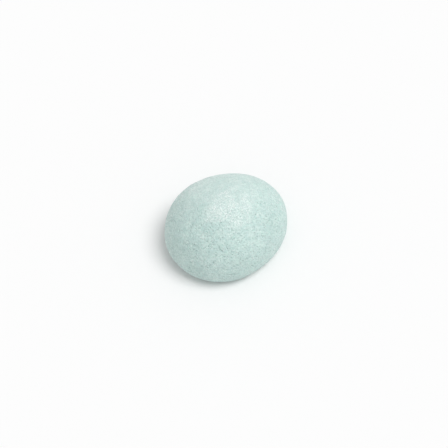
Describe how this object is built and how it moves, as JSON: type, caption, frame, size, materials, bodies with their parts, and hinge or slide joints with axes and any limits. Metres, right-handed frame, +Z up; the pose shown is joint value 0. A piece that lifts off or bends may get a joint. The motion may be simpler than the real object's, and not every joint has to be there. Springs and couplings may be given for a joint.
{
  "type": "konjac sponge",
  "caption": "Soft half-egg face sponge of fine-pored plant foam with a flat resting face; its domed crown presses down towards the base and springs back.",
  "frame": {"origin": "on the flat resting face, at the middle of the sponge's length and width", "axes": "+X along the length towards the narrower end, +Y across the width, +Z up from the flat face to the crown"},
  "size_m": [0.078, 0.068, 0.042],
  "materials": {
    "konjac_foam": "damp, pale blue-green plant foam with fine open pores and a soft wet sheen"
  },
  "bodies": {
    "base": {"flat_base": "konjac_foam"},
    "core": {"soft_core": "konjac_foam"},
    "crown": {"domed_crown": "konjac_foam"}
  },
  "joints": [
    {"name": "press", "type": "slide", "parent": "base", "child": "crown", "axis": [0, 0, -1], "range_m": [0, 0.02], "stiffness_N_per_m": 300, "springref_m": -0.001, "deforming": ["soft_core"]},
    {"name": "core_give", "type": "slide", "parent": "base", "child": "core", "axis": [0, 0, -1], "range_m": [0, 0.009], "deforming": ["soft_core"]}
  ],
  "couplings": [
    {"joint": "core_give", "follows": "press", "ratio": 0.45}
  ]
}
